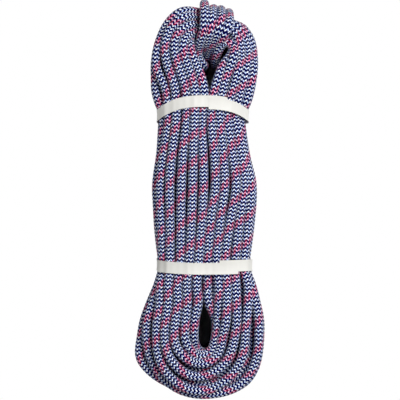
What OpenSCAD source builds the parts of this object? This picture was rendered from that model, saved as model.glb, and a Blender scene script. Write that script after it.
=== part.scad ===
// A new dynamic climbing rope as it is sold: wound into a long hank that is drawn in
// by two paper bands. The hank lies flat, with its length along Y, its width along X
// and its thickness along Z, and rests on z = 0.
//
// The turns lie on one "lay line": a path in the hank's half section that runs from the
// eye outward over the top face, down the side and back inward over the bottom face.
// The rope advances along it by one step a turn, so the outer turns are one tube.

/* [Rope] */
// Diameter of the rope
rope_d = 10; // [9:0.1:11]
// Least room between two turns, centre to centre less the diameter
turn_room = 0.6; // [0.5:0.1:1.2]
// Wall of the woven sheath
sheath_wall = 1.2; // [0.8:0.1:1.6]
// Number of twisted core cords round the middle one
core_cords = 6; // [5:1:8]
// Length of sheath and core beyond the outer turns, at each end
end_length = 44; // [34:1:48]

/* [End sleeves] */
// Wall of the shrunk sleeve on each rope end
sleeve_wall = 0.7; // [0.4:0.1:0.9]
// Length of the sleeve
sleeve_length = 32; // [20:1:33]
// Room between the sleeve and the sheath
sleeve_room = 0.05; // [0.02:0.01:0.15]

/* [Hank] */
// Overall length of the hank
hank_length = 430; // [420:1:460]
// Width over the turns where the bands sit
waist_width = 98; // [94:1:120]
// Thickness over the turns where the bands sit
waist_thickness = 119; // [110:1:140]
// Width halfway between the bands, as a ratio to the waist's
belly_ratio = 1.14; // [1:0.01:1.25]
// Width of the lower lobe, as a ratio to the waist's
lower_ratio = 1.24; // [1.05:0.01:1.3]
// Width of the upper lobe, as a ratio to the waist's
upper_ratio = 1.04; // [1.03:0.01:1.2]
// Reach of the turns round both ends, as a ratio to their reach to the side
end_ratio = 1.07; // [1.05:0.01:1.15]
// Thickness of the lobes, as a ratio to the waist's
lobe_ratio = 1.06; // [1.04:0.01:1.12]
// Radius of the lay line's two outer corners
corner_r = 18; // [14:1:24]
// Half width of the lower eye
lower_eye = 12; // [8:0.5:16]
// Half width of the upper eye
upper_eye = 9.5; // [9:0.5:13]
// Half length of each eye's round end
eye_reach = 14; // [14:0.5:18]
// Sideways set of the waist and the upper lobe against the lower lobe
waist_shift = 4.5; // [0:0.5:8]
// Place of the waist's widest part, from the middle of the length towards the upper end
belly_y = 10; // [0:1:20]
// Radius in which each rope end dips into the upper eye
dip_r = 20; // [18:1:22]
// Room between the two end sleeves in the upper eye
end_gap = 1.5; // [1:0.1:2]

/* [Bands] */
// Width of a paper band
band_width = 12; // [8:1:16]
// Thickness of the band's paper
band_paper = 0.4; // [0.2:0.1:0.6]
// Room between a band and the turns
band_room = 0.3; // [0.2:0.1:0.5]
// From the hank's upper end to the middle of the upper band's front
upper_band_set = 110; // [109:1:113]
// From the hank's lower end to the middle of the lower band's front
lower_band_set = 141; // [135:1:147]
// Lean of the upper band from front to back, in degrees
upper_band_lean = 6; // [0:1:7]
// Slant of the upper band across the front, in degrees
upper_band_slant = 3; // [0:1:4]
// Length of the glued lap where a band's ends meet
lap_length = 21; // [14:1:28]
// How far the lap's upper end sits off the lower one, along the hank
lap_step = 3; // [0:0.5:4]
// From the middle of the waist to the start of the upper band's lap
upper_lap_x = 5; // [0:1:10]
// From the middle of the waist to the start of the lower band's lap
lower_lap_x = 16; // [10:1:20]

/* [Hidden] */

rope_r = rope_d / 2;
floor_cut = rope_d / 10;
arc_lean = 15;
arc_steps = 6;
ring_sides = 6;
stations = 24;
core_room = 0.4;
slit = 0.3;

// Half section at the bands: outermost and innermost centre lines and the faces' height.
// Rings have a flat facet to each side and a corner up and down.
side_reach = rope_r * cos(180 / ring_sides);
edge_r = waist_width / 2 - side_reach;
face_h = waist_thickness / 2 - rope_r;
lobe_h = face_h * lobe_ratio;
mid_z = lobe_h + rope_r - floor_cut;

// The lay line: top face, corner, side, corner, bottom face. Its length takes a whole
// number of turns and a half, so that both ends leave towards the upper eye.
corner_run = PI * corner_r / 2;
side_run = 2 * (face_h - corner_r);
least_step = rope_d + turn_room;
free_run = 2 * (edge_r - corner_r) + 2 * corner_run + side_run;
turns = floor((free_run - least_step / 2) / least_step - 0.5) + 0.5;
// The innermost turn starts a quarter step from the middle of the waist.
turn_step = free_run / (turns + 0.5);
first_r = turn_step / 4;
face_run = edge_r - corner_r - first_r;

function lay_line(s) =
    s < face_run ? [first_r + s, face_h] :
    s < face_run + corner_run ?
        let (a = (s - face_run) / corner_r * 180 / PI)
        [edge_r - corner_r + corner_r * sin(a), face_h - corner_r + corner_r * cos(a)] :
    s < face_run + corner_run + side_run ?
        [edge_r, face_h - corner_r - (s - face_run - corner_run)] :
    let (back = lay_line(2 * (face_run + corner_run) + side_run - s)) [back.x, -back.y];

// Lobes: centres of the round ends, and the straight pinched lengths under the bands.
end_reach = eye_reach + edge_r * end_ratio;
lobe_y = hank_length / 2 - side_reach - end_reach;
upper_band_y = hank_length / 2 - upper_band_set;
lower_band_y = lower_band_set - hank_length / 2;
lean_run = waist_thickness * tan(upper_band_lean);
slant_run = waist_width / 2 * tan(upper_band_slant);
pinch_spare = 1.5;
upper_pinch = [upper_band_y - band_width / 2 - lean_run - slant_run - pinch_spare,
               upper_band_y + band_width / 2 + slant_run + pinch_spare];
lower_pinch = [lower_band_y + band_width / 2 + pinch_spare, lower_band_y - band_width / 2 - lap_step];

// A point of the hank from a station round the loop, 0 to 24, and a place [r, h] in the
// half section. Stations 0 and 12 are halfway down the left and the right run.
function run_point(side, y, place, spread) =
    [waist_shift + side * place.x * spread, y, mid_z + place.y];
function lobe_point(turned, up, place) =
    let (eye = up ? upper_eye : lower_eye, spread = up ? upper_ratio : lower_ratio)
    [(up ? waist_shift : 0) + (eye + place.x * spread) * cos(turned),
     (up ? lobe_y : -lobe_y) + (eye_reach + place.x * end_ratio) * sin(turned),
     mid_z + place.y * lobe_ratio];
arc_turn = (180 + 2 * arc_lean) / arc_steps;
function hank_point(j, place) =
    j == 0 ? run_point(-1, belly_y, place, belly_ratio) :
    j == 1 || j == 2 ? run_point(-1, lower_pinch[j - 1], place, 1) :
    j < 10 ? lobe_point(180 - arc_lean + (j - 3) * arc_turn, false, place) :
    j == 10 || j == 11 ? run_point(1, lower_pinch[11 - j], place, 1) :
    j == 12 ? run_point(1, belly_y, place, belly_ratio) :
    j == 13 || j == 14 ? run_point(1, upper_pinch[j - 13], place, 1) :
    j < 22 ? lobe_point(-arc_lean + (j - 15) * arc_turn, true, place) :
    run_point(-1, upper_pinch[23 - j], place, 1);

wound = [for (i = [0 : round(turns * stations)])
    hank_point(i % stations, lay_line(i / stations * turn_step))];

// The two ends run up the waist, dip into the upper eye and end straight, side by side.
end_step = rope_r + sleeve_room + sleeve_wall + end_gap / 2;
dip_a_y = lobe_y - end_step;
dip_b_y = lobe_y + end_step;
dip_angles = [0 : 30 : 90];
function dip(side, dip_y, face) = concat(
    [for (y = upper_pinch) [waist_shift + side * first_r, y, mid_z + face * face_h]],
    [for (a = dip_angles) [waist_shift + side * first_r * (90 - a) / 90, dip_y - dip_r + dip_r * sin(a),
        mid_z + face * (face_h - dip_r + dip_r * cos(a))]],
    [[waist_shift, dip_y, mid_z + face * (face_h - dip_r - rope_d)]]);
function reversed(list) = [for (i = [len(list) - 1 : -1 : 0]) list[i]];
rope_points = concat(reversed(dip(-1, dip_a_y, 1)), wound, dip(1, dip_b_y, -1));

// One tube swept along points; each ring stands square to the run.
function side_of(along, spare) = norm([along.x, along.y]) < 0.02 * norm(along) ? spare
    : [along.y, -along.x, 0] / norm([along.x, along.y]);
function ring(points, i, r) =
    let (last = len(points) - 1,
         along = points[min(i + 1, last)] - points[max(i - 1, 0)],
         across = side_of(along, i < last / 2 ? [-1, 0, 0] : [1, 0, 0]),
         up = cross(across, along) / norm(along))
    [for (k = [0 : ring_sides - 1]) let (a = 30 + k * 360 / ring_sides)
        points[i] + r * (across * cos(a) + up * sin(a))];

module tube(points, r) {
    count = len(points);
    n = ring_sides;
    sides = [for (i = [0 : count - 2]) for (k = [0 : n - 1])
        let (a = i * n + k, b = i * n + (k + 1) % n)
        each [[a, b, b + n], [a, b + n, a + n]]];
    caps = [for (k = [1 : n - 2])
        each [[0, k + 1, k], [(count - 1) * n, (count - 1) * n + k, (count - 1) * n + k + 1]]];
    polyhedron(points = [for (i = [0 : count - 1]) each ring(points, i, r)], faces = concat(sides, caps));
}

// Least gap of the tube to itself: stations and the middles between them, each against
// the same length of the turns next to it.
halves = [for (i = [0 : len(wound) - 2]) each [wound[i], (wound[i] + wound[i + 1]) / 2]];
loop_halves = 2 * stations;
gaps = [for (i = [0 : len(halves) - 1]) for (turn = [1, 2]) for (near = [-2 : 2])
    let (j = i + turn * loop_halves + near) if (j < len(halves)) norm(halves[i] - halves[j])];
echo(turns = turns, turn_step = turn_step, least_gap = min(gaps) - rope_d);
echo(lobe_y = lobe_y, mid_z = mid_z, edge_r = edge_r);

module rope_turns() {
    color("slateblue") difference() {
        tube(rope_points, rope_r);
        translate([-hank_length, -hank_length, -rope_d])
            cube([2 * hank_length, 2 * hank_length, rope_d]);
    }
}

// The turns inside, as one plain ring that fills the half section within the outer ones.
core_edge = edge_r - rope_r - core_room;
core_h = face_h - rope_r - core_room;
core_corner = corner_r - rope_r - core_room;
half_section = concat(
    [[slit, core_h]],
    [for (a = [0 : 30 : 90]) [core_edge - core_corner + core_corner * sin(a),
        core_h - core_corner + core_corner * cos(a)]]);
core_section = concat(half_section, [for (p = reversed(half_section)) [p.x, -p.y]]);

module inner_turns() {
    n = len(core_section);
    points = [for (j = [0 : stations - 1]) each [for (p = core_section) hank_point(j, p)]];
    faces = [for (j = [0 : stations - 1]) for (k = [0 : n - 1])
        let (next = (j + 1) % stations * n, a = j * n + k, b = j * n + (k + 1) % n, c = next + (k + 1) % n,
             d = next + k)
        each [[a, c, b], [a, d, c]]];
    color("midnightblue") polyhedron(points = points, faces = faces);
}

// Rope ends: the sheath as a hollow tube, the core cords in it and the sleeve over it.
// face is 1 for the end that dips from the top and -1 for the one from below.
sheath_bore_r = rope_r - sheath_wall;
cord_room = 0.05;
cord_share = sin(180 / core_cords);
cord_r = ((sheath_bore_r - cord_room) * cord_share - cord_room / 2) / (1 + cord_share);
cord_ring_r = sheath_bore_r - cord_room - cord_r;
middle_cord_r = cord_ring_r - cord_r - cord_room;
sleeve_bore_r = rope_r + sleeve_room;
sleeve_end = 1.2;
sleeve_end_gap = 0.1;

module at_end(face) {
    translate([waist_shift, face > 0 ? dip_a_y : dip_b_y, mid_z + face * (face_h - dip_r - rope_d)])
        rotate([face > 0 ? 180 : 0, 0, 0]) children();
}

module end_sheath(face) {
    color("lavender") at_end(face) difference() {
        cylinder(h = end_length, r = rope_r, $fn = 48);
        translate([0, 0, -1]) cylinder(h = end_length + 2, r = sheath_bore_r, $fn = 48);
    }
}

module core_cords(face) {
    color("white") at_end(face) {
        cylinder(h = end_length, r = middle_cord_r, $fn = 32);
        for (k = [0 : core_cords - 1])
            rotate([0, 0, k * 360 / core_cords]) translate([cord_ring_r, 0, 0])
                cylinder(h = end_length, r = cord_r, $fn = 32);
    }
}

module end_sleeve(face) {
    seat = end_length + sleeve_end_gap;
    color("black") at_end(face) translate([0, 0, seat - sleeve_length]) difference() {
        cylinder(h = sleeve_length + sleeve_end, r = sleeve_bore_r + sleeve_wall, $fn = 48);
        translate([0, 0, -1]) cylinder(h = sleeve_length + 1, r = sleeve_bore_r, $fn = 48);
    }
}

module end_sheath_a() { end_sheath(1); }
module end_sheath_b() { end_sheath(-1); }
module core_cords_a() { core_cords(1); }
module core_cords_b() { core_cords(-1); }
module end_sleeve_a() { end_sleeve(1); }
module end_sleeve_b() { end_sleeve(-1); }

// Bands: a shell that hugs the turns, cut to the band's slanted strip, with a lap on
// the front where the strip's ends are glued.
band_x = edge_r + side_reach + band_room;
band_z = face_h + rope_r + band_room;
band_corner = corner_r + side_reach + band_room;

module rounded_box(x, z, r, long) {
    rotate([90, 0, 0]) linear_extrude(long, center = true) union() {
        square([2 * x, 2 * (z - r)], center = true);
        square([2 * (x - r), 2 * z], center = true);
        for (sx = [-1, 1]) for (sz = [-1, 1])
            translate([sx * (x - r), sz * (z - r)]) circle(r, $fn = 64);
    }
}

module wrap(inner, outer) {
    long = 4 * band_width;
    difference() {
        rounded_box(band_x + outer, band_z + outer, band_corner + outer, long);
        rounded_box(band_x + inner, band_z + inner, band_corner + inner, long + 2);
    }
}

// The strip leans about the middle of its front, where z = band_z.
module strip(lean, slant, step) {
    translate([0, 0, band_z]) rotate([-lean, 0, -slant]) translate([0, -step, 0])
        cube([4 * band_x, band_width, 8 * band_z], center = true);
}

module band(y, lean, slant, lap_x) {
    color("ivory") translate([waist_shift, y, mid_z]) {
        intersection() {
            wrap(0, band_paper);
            strip(lean, slant, 0);
        }
        intersection() {
            wrap(band_paper, 2 * band_paper);
            strip(lean, slant, lap_step);
            translate([lap_x + lap_length / 2, 0, band_z])
                cube([lap_length, 6 * band_width, band_z], center = true);
        }
    }
}

module upper_band() { band(upper_band_y, upper_band_lean, upper_band_slant, upper_lap_x); }
module lower_band() { band(lower_band_y, 0, 0, lower_lap_x); }

rope_turns();
inner_turns();
end_sheath_a();
end_sheath_b();
core_cords_a();
core_cords_b();
end_sleeve_a();
end_sleeve_b();
upper_band();
lower_band();
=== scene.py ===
"""Looks of a new 60 m dynamic climbing rope, wound into a banded hank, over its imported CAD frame."""

import math

import bmesh
import bpy
import numpy as np
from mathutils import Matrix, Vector


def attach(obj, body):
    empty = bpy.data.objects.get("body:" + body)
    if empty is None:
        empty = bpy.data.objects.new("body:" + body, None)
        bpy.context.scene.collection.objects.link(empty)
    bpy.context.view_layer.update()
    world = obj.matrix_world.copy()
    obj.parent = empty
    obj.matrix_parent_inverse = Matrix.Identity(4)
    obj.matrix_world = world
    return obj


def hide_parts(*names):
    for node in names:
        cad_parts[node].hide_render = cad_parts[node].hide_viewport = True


bl_info = {
    "name": "Banded climbing rope",
    "version": (1, 0, 0),
    "blender": (4, 5, 0),
    "location": "View3D > Sidebar > Rope",
    "description": "Builds a wound climbing rope with its paper bands and end sleeves",
    "category": "Object",
}

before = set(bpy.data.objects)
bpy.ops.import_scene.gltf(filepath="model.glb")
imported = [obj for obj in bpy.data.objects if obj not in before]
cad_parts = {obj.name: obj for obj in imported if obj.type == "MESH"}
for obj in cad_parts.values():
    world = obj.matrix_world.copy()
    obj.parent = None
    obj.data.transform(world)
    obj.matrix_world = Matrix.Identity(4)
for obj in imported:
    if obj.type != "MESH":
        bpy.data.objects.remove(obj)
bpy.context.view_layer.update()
MM = 0.001

# The hank's plan is laid out on a grid seen from above, whose squares are GRID mm wide. x runs to the right
# and y towards the lower lobe. (GRID_X, GRID_Y) is the frame's origin, and GRID_MID the middle of the view.
GRID = 1.075
GRID_X = 199.0
GRID_Y = 199.5
GRID_MID = 200.0

# Places in part.scad, in mm: the hank's middle height, half the height of the outer layer, half the waist's
# width, a layer's thickness, and the two rope ends. Each end stands upright over END_LENGTH, with points at
# END_STEPS, and end b comes up from below in a bend of radius DIP_R.
MID_Z = 61.77
FACE_H = 54.5
HALF_WAIST = 46
LAYER = 8.7
END_X = 4.5
END_A_Y = 142.37
END_B_Y = 155.37
END_RISE = 24.5
END_LENGTH = 44.0
END_STEPS = (0, 12, 24, 36, 44)
DIP_R = 20.0
FLOOR_H = MID_Z - 5.15              # lowest centre line, under the middle

NESTLE = 9.2                        # least distance between touching turns, pressed a little
SIDE_H = 4.6                        # height over the middle of the lowest front turn, on the side
LAYER_TURNS = (9, 8, 6, 5, 4, 2)    # turns in the front half of each layer, from the outer one inward

# Cross levels of the runs, from the upper lobe down to the lower one.
LEVELS = [90, 103, 110, 119, 130, 157, 185, 221, 259, 270, 285, 302, 320, 338]

# Seven closed guide loops, from the eyes outward: right run going down, lower bend, left run (listed
# going down too), upper left bend, the way under the wraps, upper right bend.
RIGHT_RUNS = [
    [214, 212, 211, 211, 211.5, 214.3, 215.6, 211, 207.5, 207.2, 207.3, 208.3, 216, 216],
    [223, 220.6, 219.4, 219.4, 220.5, 223, 225, 220, 216, 216.3, 218.5, 218.5, 217.5, 215],
    [232, 229, 227.3, 227.2, 229, 233, 236, 230, 225, 225.2, 227, 227, 226.5, 222],
    [241, 237.5, 235.2, 235, 237, 241, 244.5, 240, 235.5, 235.2, 236.5, 237, 237, 234.5],
    [249.2, 245.6, 242, 240, 241, 245, 250.5, 249, 244.5, 244, 247.5, 247.5, 246, 245],
    [250, 246.4, 242.6, 240.6, 241.5, 245.5, 251.5, 250.2, 245, 245.4, 251, 255.5, 258.5, 258.5],
    [250, 246.4, 242.6, 240.6, 241.5, 245.5, 251.5, 250.2, 245, 245.4, 251.3, 255.5, 259.2, 259.2],
]
LEFT_RUNS = [
    [204, 203, 202.5, 202.2, 202, 203, 203.4, 202, 199, 198.2, 196.5, 198, 194.3, 193.5],
    [195, 194.6, 194.6, 194.6, 194.5, 193.8, 192.6, 191, 189.5, 188.8, 187, 187.5, 185, 184.5],
    [185.5, 186, 186.4, 186.4, 186, 183, 180.5, 180, 180, 179.6, 177.5, 178, 175.5, 174],
    [175.5, 176, 176.8, 176.6, 175.4, 171.5, 169, 169.5, 170, 170.2, 168.5, 169, 166.5, 165],
    [165.5, 166.4, 167.8, 168, 167, 163, 161, 162, 163.5, 164, 160, 159.5, 156.5, 156],
    [156, 159.2, 163.2, 163.6, 163, 160, 156.2, 158.4, 162.7, 162.6, 158.3, 153, 147.5, 147],
    [156, 159.2, 163.2, 163.6, 163, 160.7, 157, 159, 162.7, 162.6, 157.7, 150.7, 143.7, 140.2],
]
LOWER_BENDS = [
    [(215.3, 343), (212.5, 348.5), (208.5, 351.5), (204, 352), (199.5, 350.5), (196, 347), (194, 342)],
    [(214, 346), (211, 351.5), (206, 355), (200.5, 356.5), (195, 355), (190.5, 351), (186.5, 345)],
    [(220, 347.5), (216, 355.5), (209.5, 361.5), (201, 363.5), (192, 362), (183, 356.5), (176.5, 348)],
    [(231.5, 350), (226, 361), (216, 370.5), (202, 376.5), (188, 374.5), (175.5, 366), (167.5, 353)],
    [(243.5, 352), (238, 367), (225, 381.5), (205, 390.5), (186, 388), (169, 376.5), (158.5, 358)],
    [(257.5, 352), (253.5, 368), (242.5, 383.6), (216, 393.2), (186, 391.2), (164.5, 378.8), (151, 359)],
    [(257.5, 354), (253.5, 369), (242.5, 383), (214, 391), (180, 386.5), (154, 373.5), (139.5, 357)],
]
UPPER_BENDS = [
    [(201.6, 78), (197, 66), (193, 56), (190.8, 48), (192.3, 41), (197.5, 37), (207, 35.2), (220, 36.5),
     (227.5, 39.8), (232.3, 44.6), (233.4, 51), (230, 58.6), (225, 66.5), (219.5, 78)],
    [(192.3, 78), (188, 66), (184.6, 56), (182.8, 47), (185.5, 38.5), (193, 32.8), (207, 31), (221, 31.8),
     (230, 35), (234.6, 40), (235.8, 48), (234.2, 57), (230.2, 67), (226.2, 79)],
    [(182.3, 78), (178, 66), (174.8, 54), (174.3, 44), (178, 34), (187, 27.4), (205, 26.5), (222, 26.5),
     (233, 28), (239, 35.5), (241, 46), (240.7, 58), (238.2, 70), (235.6, 80)],
    [(172, 78), (167.5, 66), (165, 53), (166, 41), (171.6, 28.6), (182.5, 19.8), (204, 21), (221, 21.5),
     (235, 23.5), (243.2, 32.2), (246.8, 45), (247.6, 57), (246.2, 69), (244.1, 80)],
    [(160.5, 78), (156.3, 66), (157.5, 52), (161.5, 38), (168, 24.5), (180.5, 12.3), (206, 14.5), (221, 19.5),
     (232, 24), (243, 28.5), (251, 41.5), (253.2, 56), (253, 69), (251.5, 80)],
    [(155.8, 78), (155.6, 66), (157.5, 52), (161.5, 38), (168.3, 24.7), (181, 12.8), (206, 14.7), (221, 19.7),
     (232, 24), (243, 28.5), (251, 41.5), (253.3, 56), (253.3, 69), (251.8, 80)],
]
UPPER_BENDS.append(UPPER_BENDS[-1])
# The eyes' rim as the hidden turns and the back have it, rounder than the front's: the two bends.
RIM_LOWER = [(218, 342), (215.2, 349), (210.5, 353.6), (204.8, 355), (199.2, 353.4), (194.6, 348.8),
             (192, 342)]
RIM_UPPER = [(200.5, 78), (194.5, 68), (191.6, 58), (190.4, 49), (192.6, 41), (198.5, 35.6), (206.5, 33.6),
             (215, 33.6), (223, 35.6), (229.2, 40), (232.6, 46.5), (232.8, 54), (229.5, 65), (222.5, 79)]
# Height of the seven guides over the hank's middle, in mm, at the waist and in the lobes.
WAIST_H = [54.5, 54.5, 53.5, 50.5, 45, 36, 27]
LOBE_H = [57, 57, 56.4, 54.5, 49.5, 40, 29.5]

# Where a front strand dives under its neighbours: guide and part of the loop, then places there (levels on a
# run, a count on a bend) and the extra depths at them, in mm.
DIVES = {
    (0, "right"): ([230, 259, 285, 302, 320, 338], [0, 3, 8, 13, 24, 26]),
    (0, "lower"): ([0, 3, 6], [26, 20, 10]),
    (0, "left"): ([285, 320, 338], [0, 3, 9]),
    (0, "upper"): ([0, 2, 3, 4, 5, 9, 13], [0, 1, 4, 10, 16, 6, 0]),
    (1, "right"): ([130, 160, 190, 285, 302, 320, 338], [0, 1.5, 1.5, 2, 5, 9, 12]),
    (1, "lower"): ([0, 3, 5, 6], [12, 9, 5, 2]),
    (1, "upper"): ([3, 4, 5, 8, 9, 10, 11], [0, 4, 11, 9, 7, 3, 0]),
    (2, "upper"): ([3, 5, 7, 10, 12], [0, 2.5, 2, 2, 0]),
    (4, "upper"): ([6, 7], [0, 1.5]),
    (5, "lower"): ([0], [2]),
}
NO_DIVE = ([0], [0])

# The wraps round the head: places of their tips, of five points down their fronts, and of their way through
# the eye, where they lie in two rows. Then the heights of the fronts' points, from the eye outward, for the
# first wrap, which comes from the rope's end, and for the others.
WRAP_TIPS = [(204.6, 4.65), (213, 8.0), (220.8, 10.2), (229, 13.4)]
WRAP_FRONTS = [[(203.8, 26), (199.8, 40), (197.4, 48.5), (197.6, 56.5), (200.8, 63)],
               [(211.3, 27), (206.8, 41), (204.6, 49), (204, 54), (203.4, 52)],
               [(218.6, 28), (213.6, 41), (208.6, 50.5), (207, 57), (209, 55)],
               [(226.6, 29), (220.6, 41), (213.4, 50), (210.6, 56.5), (212.5, 60)]]
WRAP_WAYS = [(201, 44.5), (210.2, 44), (214.4, 52.8), (214.6, 62)]
FIRST_WRAP_H = (31, 34, 38.5, 49.5, 58.5)
WRAP_H = (10, 18, 29, 46, 58.5)
# The way over the head, as steps from the tip with heights. The way down the back, side by side: the first
# wrap's place across, the spacing, and places down with heights.
WRAP_OVER = [(-0.2, 9, 56), (0, 2.2, 47), (0, 0, 30), (0, 0, 0), (0, 0, -30), (-0.5, 2.2, -46), (-1, 10, -55)]
WRAP_BACK_X = 203
WRAP_BACK_STEP = 8.6
WRAP_BACK = [(24, -56.4), (34, -54.5)]
WRAP_TURN_Y = 38
# The small curl in the right lobe, where the last wrap goes over into the first loop: places with heights.
CURL = [(215, 64, 6), (215.6, 63, 20), (215.8, 58.5, 28), (217.8, 53, 35.5), (220.8, 47, 41.5),
        (225.4, 42.4, 45.5), (230.6, 42.2, 48), (234, 46.2, 48.5), (233.8, 52, 49), (230, 57.4, 50.5),
        (225.4, 62.2, 52), (221.8, 68, 54), (218.8, 76, 56)]
# Round-ended strips of the upper eye that the hidden turns leave to the wraps: two ends and a radius.
EYE_STRIPS = [(WRAP_WAYS[0], WRAP_WAYS[1], 9.4), (WRAP_WAYS[1], WRAP_WAYS[3], 9.4),
              ((198.6, 54), (203.2, 67), 10.2)]
EYE_H = 46                          # the front's turns leave them too, below this height over the middle
# The wraps press the loops under them towards the middle, by the share PRESS of their height. Sideways that
# fades between half and one and a half of PRESS_WIDTH from PRESS_X, and towards PRESS_Y over PRESS_FADE.
PRESS = 0.19
PRESS_X, PRESS_WIDTH = 215, 18.5
PRESS_Y, PRESS_FADE = 58, 14

# The sampled line, in mm: its step, its bell of smoothing and the steps kept at its ends, and the hand-laid
# strays with their seed, their length in steps, and their size on the front and on the sides.
STEP = 2.0
BELL_STEPS = 1.6
KEPT_STEPS = 26
STRAY_SEED = 11
STRAY_STEPS = 22
STRAY_FRONT = 0.55
STRAY_SIDE = 0.6
FRONT_H = 40                        # height over the middle from which a turn lies on the front

# The sheath's braid: yarn carriers each way, and the lanes round the rope that carry the pink stripe.
CARRIERS = 14.0
STRIPE_MID = 2.5
STRIPE_HALF = 2.0

# The bands: piece, place along the hank, way round, place of the lap, and how far the two ends sit off their
# line, in mm. Then the points across a strip, as shares of its half width.
BANDS = (("upper_band", 101.7, 1, 5.3, (2.4, 0)), ("lower_band", -69.4, -1, 36, (0, -2.6)))
ACROSS = np.array([-1.0, -0.92, -0.5, 0.0, 0.5, 0.92, 1.0])
BAND_EDGE = 47                      # half the width of the bands' section, in mm
EDGE_ROOM = 0.7                     # how far inside its edge a strip touches a turn
FLARE = 0.5                         # how far its edges stand out
LAP_LIFT = 0.08                     # of the end on top, for the glue
LOOP_STEPS = 720

# The core's seven yarns: radius and distance from the middle, in mm.
CORE_YARNS = [(1.22, 0.0)] + [(1.2, 2.45)] * 6
CORE_SIDES = 10
CORE_STEPS = 22
CORE_ROOM = 0.5                     # between the core and the sheath's two ends
CORE_TURNS = 1.2                    # of the yarns round each other
YARN_TURNS = 3                      # of each yarn in itself

FLOOR_HALF = 6.0
UNLIT_FLOOR = (0.036, 0.17)         # half axes of the oval under the hank that gets no backdrop light
# Strength of the world: what the camera alone sees on top, and what lights the rope.
BACKDROP, SURROUND = 0.82, 0.18
# The two square lights: name, place and side, in m, and the place that both look at.
LIGHTS = (("key", (0.68, 0.45, 1.65), 0.8), ("fill", (-1.1, -0.4, 1.4), 1.4))
LIGHTS_AIM = (0, 0, 0.05)
SENSOR = 36


def smooth(t):
    """Soft step from 0 to 1."""
    t = np.clip(t, 0.0, 1.0)
    return t * t * (3 - 2 * t)


def guide_table():
    """Plan of the guides as [guide, station, (x, y)] on the grid."""
    loops = []
    for right, low, left, high in zip(RIGHT_RUNS, LOWER_BENDS, LEFT_RUNS, UPPER_BENDS):
        loops.append(list(zip(right, LEVELS)) + low + list(zip(left, LEVELS))[::-1] + high)
    return np.array(loops, dtype=float)


GUIDES = guide_table()
STATIONS = GUIDES.shape[1]
RUN = len(LEVELS)
BEND = len(LOWER_BENDS[0])
UP_START = 2 * RUN + BEND           # first station of the upper bend
WIDE = range(RUN + 3, UP_START - 7)  # stations at which the outer guide is the front's wide strand
RIM =np.concatenate([GUIDES[0, :RUN], RIM_LOWER, GUIDES[0, RUN + BEND : UP_START], RIM_UPPER])


def part_of(j):
    """Part of the loop that a station lies in, and its place there: a level on a run, a count on a bend."""
    if j < RUN:
        return "right", LEVELS[j]
    if j < RUN + BEND:
        return "lower", j - RUN
    if j < UP_START:
        return "left", LEVELS[UP_START - 1 - j]
    return "upper", j - UP_START


def lobe_share(j):
    """How far a station lies in a lobe, 0 to 1. The runs go over into the lower lobe slowly, and into the
    narrower upper one late."""
    part, place = part_of(j)
    if part == "lower":
        return 1.0
    if part == "upper":
        return 1.0 if 2 <= place < 12 else 0.6
    return float(smooth((place - 266) / 45)) if place > 200 else 0.25 * (place < 100)


def plan_gap(p, loop):
    """Plan distance, in mm, from a place on the grid to a whole guide loop."""
    b = np.roll(loop, -1, axis=0)
    t = ((p - loop) * (b - loop)).sum(1) / np.maximum(((b - loop) ** 2).sum(1), 1e-9)
    near = loop + (b - loop) * np.clip(t, 0, 1)[:, None]
    return float(np.linalg.norm(near - p, axis=1).min()) * GRID


def groove(p, loop):
    """How far under a neighbour's centre line a turn lies in the groove beside it."""
    return math.sqrt(max(0.0, NESTLE ** 2 - plan_gap(p, loop) ** 2))


def nestled_heights():
    """Height of guides 0 to 8 over the middle, in mm, at each station, and of the hidden rim as row 9. A turn
    lies as far down in the groove beside its neighbour as their spacing lets it; the side's turns are stacked
    evenly."""
    table = np.zeros((10, STATIONS))
    for j in range(STATIONS):
        share = lobe_share(j)
        crown = np.array(WAIST_H) * (1 - share) + np.array(LOBE_H) * share
        table[1, j] = crown[1]
        for g, beside in ((0, 1), (2, 1), (3, 2), (4, 3), (5, 4), (6, 5)):
            height = min(crown[g], table[beside, j] - groove(GUIDES[g, j], GUIDES[beside]))
            if g > 4:
                height = max(height, table[beside, j] + (SIDE_H - table[beside, j]) / (9 - g))
            table[g, j] = height
        table[7, j] = table[6, j] + (SIDE_H - table[6, j]) / 2
        table[8, j] = SIDE_H
        table[9, j] = min(crown[0], table[1, j] - groove(RIM[j], GUIDES[1]))
    return table


HEIGHTS = nestled_heights()


def station_height(guide, j, front):
    """Height over the middle, in mm, of a guide (a float from 0, up to 8.5 on the side) at a station."""
    rows = HEIGHTS[:9, j] if front else np.concatenate([HEIGHTS[9:, j], HEIGHTS[1:9, j]])
    return float(np.interp(guide, range(9), rows))


def rank_row(rank):
    """Guide of a rank from 1 to 18, as a float from 0, and its side: 1 for the front, -1 for the back."""
    if rank > 9.5:
        return (19 - rank) - 1, -1.0
    return rank - 1, 1.0


def press(x, y):
    """How far the wraps press the loops under them towards the middle, 0 to 1, at a grid place."""
    return float(smooth(1.5 - abs(x - PRESS_X) / PRESS_WIDTH) * smooth((PRESS_Y - y) / PRESS_FADE))


def dive(guide, j):
    """Extra depth, in mm, of a front strand where it dives under its neighbours."""
    part, place = part_of(j)
    return np.interp(place, *DIVES.get((round(guide), part), NO_DIVE))


def plan_of(guide, j, front):
    """Grid place of a guide, as a float from 0 to 8.5, at a station. The turns at the side and on the back
    stay within the wide strand."""
    if j in WIDE and (guide > 6 or not front):
        guide = min(guide, 5.0)
    g = min(guide, 6.0)
    i = min(int(g), 5)
    inner = GUIDES[i, j] if front or i else RIM[j]
    return inner + (GUIDES[i + 1, j] - inner) * (g - i)


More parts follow.
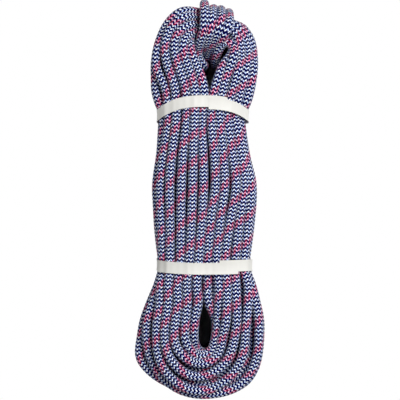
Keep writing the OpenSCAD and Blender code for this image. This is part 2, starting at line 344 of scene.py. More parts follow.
def keep_out(x, y, a, b, radius):
    """Moves a grid place out of a round-ended strip from a to b."""
    ax, ay, bx, by = *a, *b
    t = np.clip(((x - ax) * (bx - ax) + (y - ay) * (by - ay)) / ((bx - ax) ** 2 + (by - ay) ** 2), 0, 1)
    dx, dy = x - ax - t * (bx - ax), y - ay - t * (by - ay)
    d = math.hypot(dx, dy)
    if d >= radius or d < 1e-6:
        return x, y
    return x + dx / d * (radius - d), y + dy / d * (radius - d)


def to_mm(x, y, h, far):
    """A grid place and a height over the middle, to mm in the frame. The grid is as an eye far mm up sees it,
    to which near things look larger."""
    shrink = (far - max(h, 0.0)) / far
    return ((x - GRID_MID) * GRID * shrink + (GRID_MID - GRID_X) * GRID,
            (GRID_Y - GRID_MID) * GRID - (y - GRID_MID) * GRID * shrink, MID_Z + h)


def turn_point(layer, rank, j, far):
    """Place of a turn at a station, in mm: layer 0 is the outer one and rank runs from 1 to 18."""
    guide, side = rank_row(rank)
    front = side > 0 and layer == 0
    inner = plan_of(0.0, j, front)
    x, y = inner + (plan_of(guide, j, front) - inner) * (1 - LAYER * layer / HALF_WAIST)
    h = station_height(guide, j, front) * (1 - LAYER * layer / FACE_H)
    if front:
        h -= dive(guide, j)
    if side < 0:
        h = min(h, FLOOR_H)
    h *= 1 - PRESS * press(x, y)
    if abs(h) < EYE_H or side < 0:
        for a, b, radius in EYE_STRIPS:
            x, y = keep_out(x, y, a, b, radius)
    return to_mm(x, y, side * h, far)


def lay_path():
    """Layer and rank of each turn in the order they are laid: the front halves of the layers inward, to and
    fro, then the back halves outward again."""
    front = []
    for layer, count in enumerate(LAYER_TURNS):
        ranks = [1 + 8.5 * i / (count - 0.5) for i in range(count)]
        front += [(layer, rank) for rank in (ranks[::-1] if layer % 2 else ranks)]
    return front + [(layer, 19 - rank) for layer, rank in reversed(front)]


def rope_route(far):
    """Control points of the whole rope, in mm, from the end in the eye over the wraps to the other end, and
    for each of them whether it lies in a hidden turn."""
    def at(x, y, h):
        return to_mm(x, y, h, far)

    points = [(END_X, END_A_Y, MID_Z + END_RISE - END_LENGTH + d) for d in END_STEPS]
    for k, (tip, front, way) in enumerate(zip(WRAP_TIPS, WRAP_FRONTS, WRAP_WAYS)):
        if k:
            x, y = WRAP_WAYS[k - 1]
            points.append(at(x, y + 1.5, 5))
        points += [at(*place, h) for place, h in zip(front[::-1], WRAP_H if k else FIRST_WRAP_H)]
        x, y = tip
        points += [at(x + dx, y + dy, h) for dx, dy, h in WRAP_OVER]
        back = WRAP_BACK_X + WRAP_BACK_STEP * k
        points += [at(back, y, h) for y, h in WRAP_BACK]
        x, y = way
        points += [at((back + x) / 2, (WRAP_TURN_Y + y) / 2 + 1, -43), at(x, y, -24), at(x, y, -4)]
    points += [at(*place) for place in CURL]
    hidden = [False] * len(points)
    # Each turn goes over into the next one on its way round the head. The last one ends there.
    turns = lay_path()
    for (layer, rank), ahead in zip(turns, turns[1:] + [None]):
        for j in range(STATIONS if ahead else UP_START - 1):
            t = smooth((j - UP_START - 2) / (STATIONS - UP_START - 4.0)) if j > UP_START else 0.0
            place = turn_point(layer, rank, j, far)
            if t > 0:
                place = tuple(u + (v - u) * float(t) for u, v in zip(place, turn_point(*ahead, j, far)))
            points.append(place)
            hidden.append(layer > 0 and (t < 0.5 or ahead[0] > 0))
    # From there the rope dips under the eye and comes up to end b.
    foot = MID_Z - FACE_H
    points.append((END_X - 1, END_B_Y - 42, foot))
    for turn in (0, 30, 60, 90):
        s, c = math.sin(math.radians(turn)), math.cos(math.radians(turn))
        points.append((END_X, END_B_Y - DIP_R + DIP_R * s, foot + DIP_R - DIP_R * c))
    points += [(END_X, END_B_Y, MID_Z - END_RISE + d) for d in END_STEPS]
    hidden += [False] * (len(points) - len(hidden))
    return np.array(points, dtype=float), np.array(hidden, dtype=float)


def lengths_along(line):
    """Length along a polyline at each of its points."""
    return np.concatenate([[0], np.cumsum(np.linalg.norm(np.diff(line, axis=0), axis=1))])


def length_of(line):
    return float(lengths_along(line)[-1])


def resample(line, places):
    """Points of a polyline at given lengths along it."""
    along = lengths_along(line)
    return np.stack([np.interp(places, along, column) for column in line.T], axis=1)


def curve_through(points, marks, step):
    """Centripetal Catmull-Rom through the points, sampled about every step, with each point's mark carried
    along. A point closer than 0.6 mm to the one before it is left out."""
    kept = np.concatenate([[True], np.linalg.norm(np.diff(points, axis=0), axis=1) > 0.6])
    points, marks = points[kept], marks[kept]
    p = np.concatenate([[2 * points[0] - points[1]], points, [2 * points[-1] - points[-2]]])
    knots = np.concatenate([[0], np.cumsum(np.linalg.norm(np.diff(p, axis=0), axis=1) ** 0.5)])
    out, out_marks = [], []
    for i in range(1, len(p) - 2):
        t0, t1, t2, t3 = knots[i - 1 : i + 3]
        n = max(2, int(math.ceil(np.linalg.norm(p[i + 1] - p[i]) / step)))
        t = np.linspace(t1, t2, n, endpoint=False)[:, None]
        a1 = (t1 - t) / (t1 - t0) * p[i - 1] + (t - t0) / (t1 - t0) * p[i]
        a2 = (t2 - t) / (t2 - t1) * p[i] + (t - t1) / (t2 - t1) * p[i + 1]
        a3 = (t3 - t) / (t3 - t2) * p[i + 1] + (t - t2) / (t3 - t2) * p[i + 2]
        b1 = (t2 - t) / (t2 - t0) * a1 + (t - t0) / (t2 - t0) * a2
        b2 = (t3 - t) / (t3 - t1) * a2 + (t - t1) / (t3 - t1) * a3
        out.append((t2 - t) / (t2 - t1) * b1 + (t - t1) / (t2 - t1) * b2)
        out_marks.append(np.full(n, marks[i - 1]))
    out.append(p[-2:-1])
    out_marks.append(marks[-1:])
    return np.concatenate(out), np.concatenate(out_marks)


def wander(line, hidden):
    """Small slow strays of the turns that show, as in any hand-laid coil. Turns on the floor don't stray."""
    rng = np.random.default_rng(STRAY_SEED)
    reach = len(line) // STRAY_STEPS + 2
    steps, knots = np.arange(len(line)), np.arange(reach) * STRAY_STEPS
    stray = np.stack([np.interp(steps, knots, rng.normal(0, 1, reach)) for _ in range(3)], axis=1)
    size = np.where(line[:, 2] - MID_Z > FRONT_H, STRAY_FRONT, STRAY_SIDE) * (1 - hidden)
    size *= smooth((line[:, 2] - 6.0) / 4.0)
    return stray * size[:, None] * [1.0, 1.0, 1.5]


def soften(line, spread, fixed):
    """Smooths an evenly spaced line with a bell of that many steps, keeping fixed steps at both ends."""
    reach = int(3 * spread)
    bell = np.exp(-0.5 * (np.arange(-reach, reach + 1) / spread) ** 2)
    bell /= bell.sum()
    padded = np.concatenate([np.repeat(line[:1], reach, 0), line, np.repeat(line[-1:], reach, 0)])
    out = np.stack([np.convolve(column, bell, "valid") for column in padded.T], axis=1)
    keep = smooth((np.minimum(np.arange(len(line)), np.arange(len(line))[::-1]) - fixed) / 6.0)[:, None]
    return line + (out - line) * keep


def ring_places(line, hidden, pitch):
    """Lengths along the line where the tube has a ring: 2, 4 or 7 to a braid pitch, as many as keep its
    chords within room mm of the bend. A ring stands at each whole pitch."""
    total = length_of(line)
    step = total / (len(line) - 1)
    reach = 3
    a, b, c = line[: -2 * reach], line[reach:-reach], line[2 * reach :]
    turn = np.linalg.norm(a - 2 * b + c, axis=1) / (reach * step) ** 2
    bend = np.concatenate([np.full(reach, turn[0]), turn, np.full(reach, turn[-1])])
    places = [0.0]
    while places[-1] + pitch < total:
        first = places[-1]
        block = slice(int(first / step), int((first + pitch) / step) + 1)
        counts, room = ((2, 4, 7), 0.6) if hidden[block].min() > 0.5 else ((4, 7), 0.15)
        count = next((n for n in counts if (pitch / n) ** 2 * bend[block].max() / 8 < room), counts[-1])
        places += [first + pitch * (k + 1) / count for k in range(count)]
    rest = np.arange(places[-1] + pitch / 7, total - 1, pitch / 7)
    return np.concatenate([places, rest, [total]])


def frames_across(line):
    """Two unit vectors across a line at each point, carried along it without twist."""
    along = np.gradient(line, axis=0)
    along /= np.linalg.norm(along, axis=1)[:, None]
    across = np.empty_like(line)
    first = np.cross(along[0], [1.0, 0.0, 0.0])
    across[0] = first / np.linalg.norm(first)
    for i in range(1, len(line)):
        v = across[i - 1] - along[i] * across[i - 1].dot(along[i])
        across[i] = v / np.linalg.norm(v)
    return across, np.cross(along, across)


def linked(name, data):
    """A new object in the scene."""
    obj = bpy.data.objects.new(name, data)
    bpy.context.collection.objects.link(obj)
    return obj


def tube_faces(count, sides):
    """Faces of a closed tube of count rings: quads between the rings, and a cap at each end."""
    i, k = np.meshgrid(np.arange(count - 1), np.arange(sides), indexing="ij")
    after = (k + 1) % sides
    ring, following = i * sides, (i + 1) * sides
    quads = np.stack([ring + k, ring + after, following + after, following + k], axis=-1)
    caps = [list(range(sides))[::-1], list(range((count - 1) * sides, count * sides))]
    return quads.reshape(-1, 4).tolist() + caps


def rounded_object(name, verts, faces):
    """A smooth object from places in mm, with its faces turned outward."""
    mesh = bpy.data.meshes.new(name)
    mesh.from_pydata((verts * MM).tolist(), [], faces)
    bm = bmesh.new()
    bm.from_mesh(mesh)
    bmesh.ops.recalc_face_normals(bm, faces=bm.faces)
    bm.to_mesh(mesh)
    bm.free()
    mesh.polygons.foreach_set("use_smooth", np.ones(len(mesh.polygons), bool))
    return linked(name, mesh)


def new_material(name):
    material = bpy.data.materials.new(name)
    material.use_nodes = True
    nodes = material.node_tree.nodes
    nodes.clear()
    out = nodes.new("ShaderNodeOutputMaterial")
    shader = nodes.new("ShaderNodeBsdfPrincipled")
    material.node_tree.links.new(shader.outputs["BSDF"], out.inputs["Surface"])
    return material, nodes, material.node_tree.links, shader


def feed(links, socket, value):
    """Sets a socket to a number or colour, or links another node's output to it."""
    if isinstance(value, bpy.types.NodeSocket):
        links.new(value, socket)
    else:
        socket.default_value = value


def math_node(nodes, links, kind, *values):
    node = nodes.new("ShaderNodeMath")
    node.operation = kind
    for socket, value in zip(node.inputs, values):
        feed(links, socket, value)
    return node.outputs[0]


def colour_between(nodes, links, mask, shade, tone, start=0.0, end=1.0):
    """Colour that goes from shade to tone as a mask goes from start to end."""
    ramp = nodes.new("ShaderNodeValToRGB")
    for element, place, colour in zip(ramp.color_ramp.elements, (start, end), (shade, tone)):
        element.position = place
        element.color = (*colour, 1)
    links.new(mask, ramp.inputs["Fac"])
    return ramp.outputs["Color"]


def add_bump(nodes, links, shader, height, strength, distance):
    """Relief of a material from a height mask."""
    bump = nodes.new("ShaderNodeBump")
    bump.inputs["Strength"].default_value = strength
    bump.inputs["Distance"].default_value = distance
    links.new(height, bump.inputs["Height"])
    links.new(bump.outputs["Normal"], shader.inputs["Normal"])


def new_group(name, inputs, outputs):
    """A shader node group with named sockets, and its input and output nodes."""
    group = bpy.data.node_groups.new(name, "ShaderNodeTree")
    for socket, kind in inputs:
        group.interface.new_socket(socket, in_out="INPUT", socket_type=kind)
    for socket in outputs:
        group.interface.new_socket(socket, in_out="OUTPUT", socket_type="NodeSocketFloat")
    return group, group.nodes.new("NodeGroupInput"), group.nodes.new("NodeGroupOutput")


def placed_group(nodes, name, make):
    """A group in a material, made the first time that one asks for it."""
    node = nodes.new("ShaderNodeGroup")
    node.node_tree = bpy.data.node_groups.get(name) or make(name)
    return node


def braid_group(name):
    """Two-over-two braid: masks of the pale yarn, of the stripe's pink, blush and dark yarns, of the floats
    that run steeply, which get painted shade, of the painted shade in the gaps between floats, and the
    floats' height."""
    group, source, sink = new_group(name, [("UV", "NodeSocketVector")],
                                    ("White", "Pink", "Blush", "Dark", "Steep", "Shade", "Height"))
    nodes, links = group.nodes, group.links

    def m(kind, *values):
        return math_node(nodes, links, kind, *values)

    def either(mask, a, b):
        return m("ADD", m("MULTIPLY", mask, a), m("MULTIPLY", m("SUBTRACT", 1.0, mask), b))

    def centred(value):
        return m("SUBTRACT", m("MULTIPLY", value, 2.0), 1.0)

    def arch(value):
        return m("SQRT", m("MAXIMUM", m("SUBTRACT", 1.0, m("MULTIPLY", value, value)), 0.0))

    split = nodes.new("ShaderNodeSeparateXYZ")
    links.new(source.outputs["UV"], split.inputs[0])
    u, w = split.outputs[0], split.outputs[1]
    a = m("MULTIPLY", m("SUBTRACT", u, w), CARRIERS)
    b = m("MULTIPLY", m("ADD", u, w), CARRIERS)
    i, j = m("FLOOR", a), m("FLOOR", b)
    fa, fb = m("SUBTRACT", a, i), m("SUBTRACT", b, j)
    # Which of the crossing yarns lies on top, and whether this cell is the first of its float's two.
    q = m("FLOORED_MODULO", m("ADD", i, j), 4.0)
    on_top = m("LESS_THAN", q, 1.5)
    first = m("LESS_THAN", m("FLOORED_MODULO", q, 2.0), 0.5)
    odd_i = m("FLOORED_MODULO", i, 2.0)
    even_j = m("FLOORED_MODULO", m("ADD", j, 1.0), 2.0)
    white = either(on_top, odd_i, m("SUBTRACT", 1.0, even_j))
    lane = m("FLOORED_MODULO", i, CARRIERS)
    stripe = m("LESS_THAN", m("ABSOLUTE", m("SUBTRACT", lane, STRIPE_MID)), STRIPE_HALF)
    marked = m("MULTIPLY", on_top, stripe)
    pink = m("MULTIPLY", marked, odd_i)
    # Across and along the float that lies on top.
    across = centred(either(on_top, fa, fb))
    along = centred(m("MULTIPLY", m("ADD", either(on_top, fb, fa), m("SUBTRACT", 1.0, first)), 0.5))
    height = m("MULTIPLY", arch(across), arch(m("MULTIPLY", along, along)))
    # Painted shade mask: 1 on a float's crown, falling to 0 towards its edges and ends, where the gaps
    # between the yarns lie in shade.
    shade = m("MINIMUM", m("MAXIMUM", m("MULTIPLY_ADD", height, 5.0, -3.0), 0.0), 1.0)
    for socket, value in (("White", white), ("Pink", pink),
                          ("Blush", m("MULTIPLY", m("SUBTRACT", stripe, marked), white)),
                          ("Dark", m("SUBTRACT", marked, pink)), ("Steep", m("SUBTRACT", 1.0, on_top)),
                          ("Shade", shade), ("Height", height)):
        links.new(value, sink.inputs[socket])
    return group


def grain_group(name):
    """Fine uneven grain, as paper and film have it."""
    inputs = (("Vector", "NodeSocketVector"), ("Scale", "NodeSocketFloat"), ("Detail", "NodeSocketFloat"))
    group, source, sink = new_group(name, inputs, ("Grain",))
    noise = group.nodes.new("ShaderNodeTexNoise")
    for socket, _ in inputs:
        group.links.new(source.outputs[socket], noise.inputs[socket])
    group.links.new(noise.outputs["Fac"], sink.inputs["Grain"])
    return group


def grain(nodes, links, scale, detail):
    """The grain group in a material, over the piece's own places."""
    place = nodes.new("ShaderNodeTexCoord")
    node = placed_group(nodes, "grain", grain_group)
    links.new(place.outputs["Object"], node.inputs["Vector"])
    node.inputs["Scale"].default_value = scale
    node.inputs["Detail"].default_value = detail
    return node.outputs["Grain"]


class RopeSettings(bpy.types.PropertyGroup):
    diameter: bpy.props.FloatProperty(
        name="Diameter", description="Diameter of the rope", default=0.0101, unit="LENGTH",
        subtype="DISTANCE")
    length: bpy.props.FloatProperty(
        name="Length", description="Real length of the whole rope", default=60.0, unit="LENGTH",
        subtype="DISTANCE")
    pitch: bpy.props.FloatProperty(
        name="Braid pitch", description="Length in which one sheath yarn goes once round", default=0.028,
        unit="LENGTH", subtype="DISTANCE")
    twist: bpy.props.FloatProperty(
        name="Twist", description="Turns of twist laid into each metre of rope by coiling it", default=-0.88)
    sides: bpy.props.IntProperty(name="Sides", description="Facets round the rope", default=12)
    white: bpy.props.FloatVectorProperty(
        name="White", description="Pale yarn of the flat floats", default=(0.92, 0.94, 1.0), subtype="COLOR")
    # Painted shade: the steep floats of the pale yarn are drawn in this darker, cooler copy of it, for the
    # shade they take under the light.
    blue: bpy.props.FloatVectorProperty(
        name="Pale blue", description="Pale yarn of the steep floats", default=(0.54, 0.67, 1.0),
        subtype="COLOR")
    navy: bpy.props.FloatVectorProperty(
        name="Navy", description="Dark yarn", default=(0.0013, 0.002, 0.085), subtype="COLOR")
    # Painted shade: this tint darkens the edges and ends of every float, for the shade in the gaps between
    # the yarns.
    shaded_grooves: bpy.props.FloatVectorProperty(
        name="Grooves", description="Tint of the grooves between the yarns", default=(0.008, 0.009, 0.085),
        subtype="COLOR")
    pink: bpy.props.FloatVectorProperty(
        name="Pink", description="Bright yarn of the stripe", default=(0.95, 0.31, 0.50), subtype="COLOR")
    wine: bpy.props.FloatVectorProperty(
        name="Wine", description="Dark yarn of the stripe", default=(0.26, 0.005, 0.05), subtype="COLOR")
    blush: bpy.props.FloatVectorProperty(
        name="Blush", description="Pale yarn that crosses the stripe", default=(0.93, 0.66, 0.83),
        subtype="COLOR")


class BandSettings(bpy.types.PropertyGroup):
    width: bpy.props.FloatProperty(
        name="Width", description="Width of the paper strip", default=0.012, unit="LENGTH",
        subtype="DISTANCE")
    paper: bpy.props.FloatProperty(
        name="Paper", description="Thickness of the paper", default=0.0004, unit="LENGTH", subtype="DISTANCE")
    room: bpy.props.FloatProperty(
        name="Room", description="Room between paper and rope", default=0.0002, unit="LENGTH",
        subtype="DISTANCE")
    lap: bpy.props.FloatProperty(
        name="Lap", description="Length of the glued lap", default=0.0205, unit="LENGTH", subtype="DISTANCE")
    shade: bpy.props.FloatVectorProperty(
        name="Shade", description="Darker tone of the paper", default=(0.66, 0.655, 0.62), subtype="COLOR")
    tone: bpy.props.FloatVectorProperty(
        name="Tone", description="Lighter tone of the paper", default=(0.7, 0.695, 0.66), subtype="COLOR")


class EndSettings(bpy.types.PropertyGroup):
    yarn_shade: bpy.props.FloatVectorProperty(
        name="Yarn shade", description="Darker tone of the core yarns", default=(0.55, 0.55, 0.52),
        subtype="COLOR")
    yarn_tone: bpy.props.FloatVectorProperty(
        name="Yarn tone", description="Lighter tone of the core yarns", default=(0.86, 0.86, 0.84),
        subtype="COLOR")
    sleeve_shade: bpy.props.FloatVectorProperty(
        name="Sleeve shade", description="Darker tone of the sleeves", default=(0.006, 0.006, 0.007),
        subtype="COLOR")
    sleeve_tone: bpy.props.FloatVectorProperty(
        name="Sleeve tone", description="Lighter tone of the sleeves", default=(0.016, 0.016, 0.018),
        subtype="COLOR")


class StageSettings(bpy.types.PropertyGroup):
    view_distance: bpy.props.FloatProperty(
        name="View distance", description="Distance from the hank's middle to the camera", default=1.6,
        unit="LENGTH", subtype="DISTANCE")
    floor: bpy.props.FloatVectorProperty(
        name="Floor", description="Colour of the floor", default=(0.9, 0.9, 0.9), subtype="COLOR")
    key: bpy.props.FloatProperty(name="Key", description="Power of the key light", default=34, unit="POWER")
    fill: bpy.props.FloatProperty(name="Fill", description="Power of the fill light", default=5, unit="POWER")


class ROPE_OT_wind(bpy.types.Operator):
    """Winds the whole rope as one tube"""
    bl_idname = "rope.wind"
    bl_label = "Wind the rope"

    def execute(self, context):
        s = context.scene.rope
        control, hidden = rope_route(context.scene.rope_stage.view_distance / MM)
        fine, hidden = curve_through(control, hidden, STEP)
        even = np.arange(0, length_of(fine), STEP)
        fine, hidden = resample(fine, even), np.interp(even, lengths_along(fine), hidden)
        fine = soften(fine + wander(fine, hidden), BELL_STEPS, KEPT_STEPS)
        places = ring_places(fine, hidden, s.pitch / MM)
        line = resample(fine, places) * MM
        rope = rope_tube("rope", line, places * MM, s)
        rope.data.materials.append(rope_material(s))
        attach(rope, "root")
        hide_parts("rope_turns", "inner_turns", "end_sheath_a", "end_sheath_b")
        return {"FINISHED"}


def rope_tube(name, line, places, s):
    """The rope as a closed tube round a line, in m, with a UV map that runs once round and once a pitch
    along."""
    sides, count = s.sides, len(line)
    across, up = frames_across(line)
    turn = (np.arange(sides) / sides + s.twist * places[:, None]) * 2 * math.pi
    rings = line[:, None, :] + s.diameter / 2 * (across[:, None, :] * np.cos(turn)[:, :, None]
                                                 + up[:, None, :] * np.sin(turn)[:, :, None])
    mesh = bpy.data.meshes.new(name)
    mesh.from_pydata(rings.reshape(-1, 3).tolist(), [], tube_faces(count, sides))
    per = places / s.pitch
    base = np.floor(per[:-1] + 1e-6)
    v0, v1 = np.repeat(per[:-1] - base, sides), np.repeat(per[1:] - base, sides)
    k = np.tile(np.arange(sides), count - 1)
    u0, u1 = k / sides, (k + 1) / sides
    uv = np.stack([u0, v0, u1, v0, u1, v1, u0, v1], axis=-1).reshape(-1)
    cap_uv = np.full(4 * sides, 0.5)
    layer = mesh.uv_layers.new(name="OFBake")
    layer.data.foreach_set("uv", np.concatenate([uv, cap_uv]).astype(np.float32))
    mesh.polygons.foreach_set("use_smooth", np.concatenate([np.ones(len(k), bool), [False, False]]))
    mesh.update()
    return linked(name, mesh)


def rope_material(s):
    material, nodes, links, shader = new_material("rope_braid")
    uv = nodes.new("ShaderNodeUVMap")
    uv.uv_map = "OFBake"
    braid = placed_group(nodes, "braid", braid_group)
    links.new(uv.outputs["UV"], braid.inputs["UV"])

    def mix(kind, factor, a, b):
        node = nodes.new("ShaderNodeMix")
        node.data_type = "RGBA"
        node.blend_type = kind
        for socket, value in ((node.inputs[0], factor), (node.inputs[6], a), (node.inputs[7], b)):
            feed(links, socket, value)
        return node.outputs[2]

    # Painted shade: the steep floats of the pale yarn take its darker, cooler copy.
    base = mix("MIX", braid.outputs["Steep"], (*s.white, 1), (*s.blue, 1))
    base = mix("MIX", braid.outputs["White"], (*s.navy, 1), base)
    for mask, yarn in (("Blush", s.blush), ("Pink", s.pink), ("Dark", s.wine)):
        base = mix("MIX", braid.outputs[mask], base, (*yarn, 1))
    # Painted shade: the gaps round every float are darkened to their tint.
    shade = mix("MIX", braid.outputs["Shade"], (*s.shaded_grooves, 1), (1, 1, 1, 1))
    links.new(mix("MULTIPLY", 1.0, base, shade), shader.inputs["Base Color"])
    add_bump(nodes, links, shader, braid.outputs["Height"], 0.25, 0.0004)
    shader.inputs["Roughness"].default_value = 0.62
    shader.inputs["Specular IOR Level"].default_value = 0.05
    shader.inputs["Sheen Weight"].default_value = 0.01
    shader.inputs["Sheen Roughness"].default_value = 0.5
    return material


def hull(points):
    """Convex outline of plane points, going round once."""
    points = sorted(set(map(tuple, np.round(points, 4))))

    def half(rows):
        out = []
        for p in rows:
            while len(out) > 1 and ((out[-1][0] - out[-2][0]) * (p[1] - out[-2][1])
                                    - (out[-1][1] - out[-2][1]) * (p[0] - out[-2][0])) <= 0:
                out.pop()
            out.append(p)
        return out[:-1]

    return np.array(half(points) + half(points[::-1]))


def tight_loop(line, centre, half_width, reach, way, lap_x, arch):
    """Section of a band drawn tight round the rope, in mm: evenly spaced places (x, height) from the band's
    centre that start at lap_x on the front and go to the right (way 1) or the left (way -1). reach is how far
    the band's middle lies from the turns' centre lines. Gives the section's length too."""
    rel = line - np.array(centre)
    sag = np.array([arch(x, h) for x, h in zip(rel[:, 0], rel[:, 2])])
    core = hull(rel[np.abs(rel[:, 1] + sag) < half_width - EDGE_ROOM][:, [0, 2]])
    turn = np.linspace(0, 2 * math.pi, 48, endpoint=False)
    ring = np.stack([np.cos(turn), np.sin(turn)], axis=1) * reach
    edge = hull((core[:, None, :] + ring[None, :, :]).reshape(-1, 2))
    edge = np.concatenate([edge, edge[:1]])
    total = length_of(edge)
    loop = resample(edge, np.linspace(0, total, LOOP_STEPS + 1)[:-1])[:: -1 if way > 0 else 1]
    start = np.where((loop[:, 1] > 0), np.abs(loop[:, 0] - lap_x), 1e9).argmin()
    return np.roll(loop, -start, axis=0), total


def strip_object(name, line, centre, way, lap_x, steps, arch, rope_radius, s):
    """A paper strip drawn tight round the rope, slightly wavy, its ends glued over each other on the front.
    steps are how far its two ends sit off its line, in mm."""
    half, thick, lap = s.width / MM / 2, s.paper / MM, s.lap / MM
    loop, total = tight_loop(line, centre, half, rope_radius + (s.room + s.paper / 2) / MM, way, lap_x, arch)
    gap = total / len(loop)
    count = int((total + lap) / gap)
    side, normal, up = np.eye(3)
    rings = []
    for i in range(count):
        a, b = loop[i % len(loop)], loop[(i + 1) % len(loop)]
        t = (b - a) / np.linalg.norm(b - a)
        out = np.array([-t[1], t[0]])
        if out @ a < 0:
            out = -out
        run = i * gap
        over = 1 - smooth((run - lap - 1) / 6.0)            # the first end lies on top
        under = smooth((run - total + 6) / 5.0)
        # Each end's step off the line fades out within three laps.
        shift =steps[0] * (1 - smooth((run - lap * 0.6) / (lap * 2.2)))
        shift += steps[1] * smooth((run - total + lap * 2.6) / (lap * 2.2))
        wave = 0.12 * math.sin(run * 0.31) + 0.08 * math.sin(run * 0.83 + 1)
        middle = a + out * (over * (thick + LAP_LIFT) + wave * (1 - over) * (1 - under))
        drop = shift + float(arch(middle[0], middle[1]))
        base = np.array(centre) + side * middle[0] + up * middle[1] - normal * drop
        face = side * out[0] + up * out[1]
        for layer, row in ((0.5, ACROSS), (-0.5, ACROSS[::-1])):
            rings += [base + normal * half * w + face * (layer * thick + abs(w) ** 3 * FLARE) for w in row]
    band = rounded_object(name, np.array(rings), tube_faces(count, 2 * len(ACROSS)))
    band.data.set_sharp_from_angle(angle=math.radians(50))
    return band


def to_front(h):
    """How far a height over the middle lies from the back, 0, to the front, 1."""
    return smooth((h + 45) / 75)


def upper_arch(x, h):
    """How far down the upper band sits, in mm, at a place on its section: it rides up over the front's
    crown."""
    front = 13.0 * (-x / BAND_EDGE) ** 2.6 if x < 0 else 14.0 * (x / BAND_EDGE) ** 3
    return front + (12.5 - front) * (1 - to_front(h))


def lower_arch(x, h):
    """How far down the lower band sits, in mm: it rides down over the front's crown."""
    front = 2.3 * (1 - (1.0 if x < 0 else 0.3) * (x / BAND_EDGE) ** 2)
    return front * to_front(h)


class ROPE_OT_bands(bpy.types.Operator):
    """Lays the two paper bands round the waist"""
    bl_idname = "rope.bands"
    bl_label = "Lay the bands"

    def execute(self, context):
        s, rope = context.scene.rope_bands, context.scene.rope
        turns = bpy.data.objects["rope"].data.vertices
        verts = np.empty(3 * len(turns))
        turns.foreach_get("co", verts)
        line = verts.reshape(-1, rope.sides, 3).mean(axis=1) / MM
        paper = paper_material(s)
        for (name, y, way, lap_x, steps), arch in zip(BANDS, (upper_arch, lower_arch)):
            centre, radius = (END_X, y, MID_Z), rope.diameter / 2 / MM
            band = strip_object(name + "_paper", line, centre, way, lap_x, steps, arch, radius, s)
            band.data.materials.append(paper)
            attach(band, "root")
            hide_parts(name)
        return {"FINISHED"}


def paper_material(s):
    material, nodes, links, shader = new_material("band_paper")
    fibres = grain(nodes, links, 900, 3)
    clouds = grain(nodes, links, 40, 2)
    links.new(colour_between(nodes, links, clouds, s.shade, s.tone, 0.3, 0.75), shader.inputs["Base Color"])
    add_bump(nodes, links, shader, fibres, 0.25, 0.0002)
    shader.inputs["Roughness"].default_value = 0.55
    return material


class ROPE_OT_ends(bpy.types.Operator):
    """Dresses the two rope ends: shrunk sleeves and the twisted core inside"""
    bl_idname = "rope.ends"
    bl_label = "Dress the ends"

    def execute(self, context):
        s = context.scene.rope_ends
        sleeve = sleeve_material(s)
        for name in ("end_sleeve_a", "end_sleeve_b"):
            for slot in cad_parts[name].material_slots:
                slot.material = sleeve
        yarn = core_material(s)
        for which, y, way in (("a", END_A_Y, -1), ("b", END_B_Y, 1)):
            core = core_object("core_yarns_" + which, (END_X, y, MID_Z - way * END_RISE), way)
            core.data.materials.append(yarn)
            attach(core, "root")
            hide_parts("core_cords_" + which)
        return {"FINISHED"}


def core_object(name, start, way):
    """Seven twisted core yarns, side by side in the end of the sheath, from its mouth up (way 1) or down
    (way -1)."""
    verts, faces = [], []
    for c, (radius, off) in enumerate(CORE_YARNS):
        faces += [[len(verts) + v for v in face] for face in tube_faces(CORE_STEPS + 1, CORE_SIDES)]
        for i in range(CORE_STEPS + 1):
            t = i / CORE_STEPS
            a = 2 * math.pi * (t * CORE_TURNS + c / 6)
            x, y = start[0] + off * math.cos(a), start[1] + off * math.sin(a)
            z = start[2] + way * (CORE_ROOM + t * (END_LENGTH - 2 * CORE_ROOM))
            for k in range(CORE_SIDES):
                b = 2 * math.pi * (k / CORE_SIDES + t * YARN_TURNS)
                r = radius * (1 + 0.06 * math.cos(3 * b - 9 * t))
                verts.append((x + r * math.cos(b), y + r * math.sin(b), z))
    return rounded_object(name, np.array(verts), faces)


def core_material(s):
    material, nodes, links, shader = new_material("core_yarn")
    place = nodes.new("ShaderNodeTexCoord")
    wave = nodes.new("ShaderNodeTexWave")
    wave.wave_type = "BANDS"
    wave.bands_direction = "DIAGONAL"
    wave.inputs["Scale"].default_value = 260
    wave.inputs["Distortion"].default_value = 2.0
    links.new(place.outputs["Object"], wave.inputs["Vector"])
    strands = wave.outputs["Fac"]
    links.new(colour_between(nodes, links, strands, s.yarn_shade, s.yarn_tone), shader.inputs["Base Color"])
    add_bump(nodes, links, shader, strands, 0.4, 0.0002)
    shader.inputs["Roughness"].default_value = 0.7
    return material


def sleeve_material(s):
    material, nodes, links, shader = new_material("shrunk_sleeve")
    film = grain(nodes, links, 300, 4)
    links.new(colour_between(nodes, links, film, s.sleeve_shade, s.sleeve_tone), shader.inputs["Base Color"])
    add_bump(nodes, links, shader, film, 0.3, 0.0003)
    shader.inputs["Roughness"].default_value = 0.5
    shader.inputs["Specular IOR Level"].default_value = 0.3
    return material


class ROPE_OT_stage(bpy.types.Operator):
    """Sets the floor, the lights and the camera"""
    bl_idname = "rope.stage"
    bl_label = "Set the stage"

    def execute(self, context):
        s = context.scene.rope_stage
        lay_floor(s)
        light_surround(context.scene)
        for (name, place, size), power in zip(LIGHTS, (s.key, s.fill)):
            hang_light(name, place, size, power)
        place_camera(context.scene, s.view_distance)
        context.scene.view_settings.view_transform = "Standard"
        return {"FINISHED"}


def lay_floor(s):
    """A wide square floor under the hank."""
    mesh = bpy.data.meshes.new("floor")
    corners = [(x * FLOOR_HALF, y * FLOOR_HALF, 0) for x, y in ((-1, -1), (1, -1), (1, 1), (-1, 1))]
    mesh.from_pydata(corners, [], [(0, 1, 2, 3)])
    floor = linked("floor", mesh)
    floor.data.materials.append(floor_material(s))


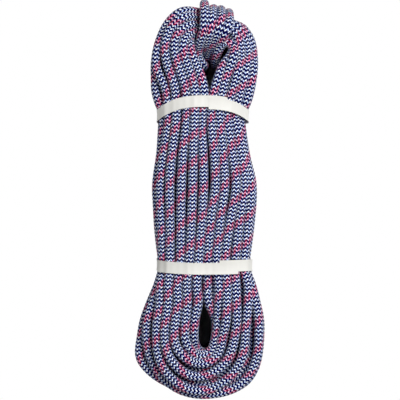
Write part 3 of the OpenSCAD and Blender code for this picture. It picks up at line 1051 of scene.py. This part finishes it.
def light_surround(scene):
    """A dim, even world, which the camera sees as white."""
    world = bpy.data.worlds.new("studio")
    scene.world = world
    world.use_nodes = True
    nodes, links = world.node_tree.nodes, world.node_tree.links
    sky = nodes["Background"]
    sky.inputs["Color"].default_value = (1, 1, 1, 1)
    seen = nodes.new("ShaderNodeLightPath").outputs["Is Camera Ray"]
    links.new(math_node(nodes, links, "MULTIPLY_ADD", seen, BACKDROP, SURROUND), sky.inputs["Strength"])


def hang_light(name, place, size, power):
    """A square light that looks at the hank."""
    light = bpy.data.lights.new(name, "AREA")
    light.size = size
    light.energy = power
    lamp = linked(name, light)
    lamp.location = place
    lamp.rotation_mode = "QUATERNION"
    lamp.rotation_quaternion = (Vector(LIGHTS_AIM) - Vector(place)).to_track_quat("-Z", "Y")


def place_camera(scene, distance):
    """A camera straight over the grid's middle. The grid fills its view at the hank's middle height."""
    cam = bpy.data.cameras.new("camera")
    cam.sensor_width = SENSOR
    cam.lens = SENSOR * distance / (2 * GRID_MID * GRID * MM)
    camera = linked("camera", cam)
    camera.location = ((GRID_MID - GRID_X) * GRID * MM, (GRID_Y - GRID_MID) * GRID * MM,
                       MID_Z * MM + distance)
    scene.camera = camera


def floor_material(s):
    """Pale floor with shadows, which the camera sees as white all round the hank, but not in its eyes."""
    material, nodes, links, shader = new_material("floor")
    shader.inputs["Base Color"].default_value = (*s.floor, 1)
    shader.inputs["Roughness"].default_value = 0.9
    glow = nodes.new("ShaderNodeEmission")
    glow.inputs["Color"].default_value = (1, 1, 1, 1)
    glow.inputs["Strength"].default_value = 1.0
    place = nodes.new("ShaderNodeTexCoord")
    around = nodes.new("ShaderNodeVectorMath")
    around.operation = "MULTIPLY"
    around.inputs[1].default_value = (1 / UNLIT_FLOOR[0], 1 / UNLIT_FLOOR[1], 0)
    links.new(place.outputs["Object"], around.inputs[0])
    far_off = nodes.new("ShaderNodeVectorMath")
    far_off.operation = "LENGTH"
    links.new(around.outputs[0], far_off.inputs[0])
    open_floor = nodes.new("ShaderNodeMapRange")
    open_floor.inputs["From Min"].default_value = 1.0
    open_floor.inputs["From Max"].default_value = 1.15
    links.new(far_off.outputs["Value"], open_floor.inputs["Value"])
    rays = nodes.new("ShaderNodeLightPath")
    share = nodes.new("ShaderNodeMixShader")
    links.new(math_node(nodes, links, "MULTIPLY", rays.outputs["Is Camera Ray"], open_floor.outputs[0]),
              share.inputs[0])
    links.new(shader.outputs["BSDF"], share.inputs[1])
    links.new(glow.outputs["Emission"], share.inputs[2])
    links.new(share.outputs["Shader"], nodes["Material Output"].inputs["Surface"])
    return material


class ROPE_PT_panel(bpy.types.Panel):
    bl_label = "Climbing rope"
    bl_idname = "ROPE_PT_panel"
    bl_space_type = "VIEW_3D"
    bl_region_type = "UI"
    bl_category = "Rope"

    def draw(self, context):
        for idname in ("rope.wind", "rope.bands", "rope.ends", "rope.stage"):
            self.layout.operator(idname)


SETTINGS = {"rope": RopeSettings, "rope_bands": BandSettings, "rope_ends": EndSettings,
            "rope_stage": StageSettings}
CLASSES = (*SETTINGS.values(), ROPE_OT_wind, ROPE_OT_bands, ROPE_OT_ends, ROPE_OT_stage, ROPE_PT_panel)


def register():
    for c in CLASSES:
        bpy.utils.register_class(c)
    for name, group in SETTINGS.items():
        setattr(bpy.types.Scene, name, bpy.props.PointerProperty(type=group))


def unregister():
    for name in SETTINGS:
        delattr(bpy.types.Scene, name)
    for c in reversed(CLASSES):
        bpy.utils.unregister_class(c)


def main():
    register()
    bpy.ops.rope.wind()
    bpy.ops.rope.bands()
    bpy.ops.rope.ends()
    bpy.ops.rope.stage()


if __name__ == "__main__":
    main()
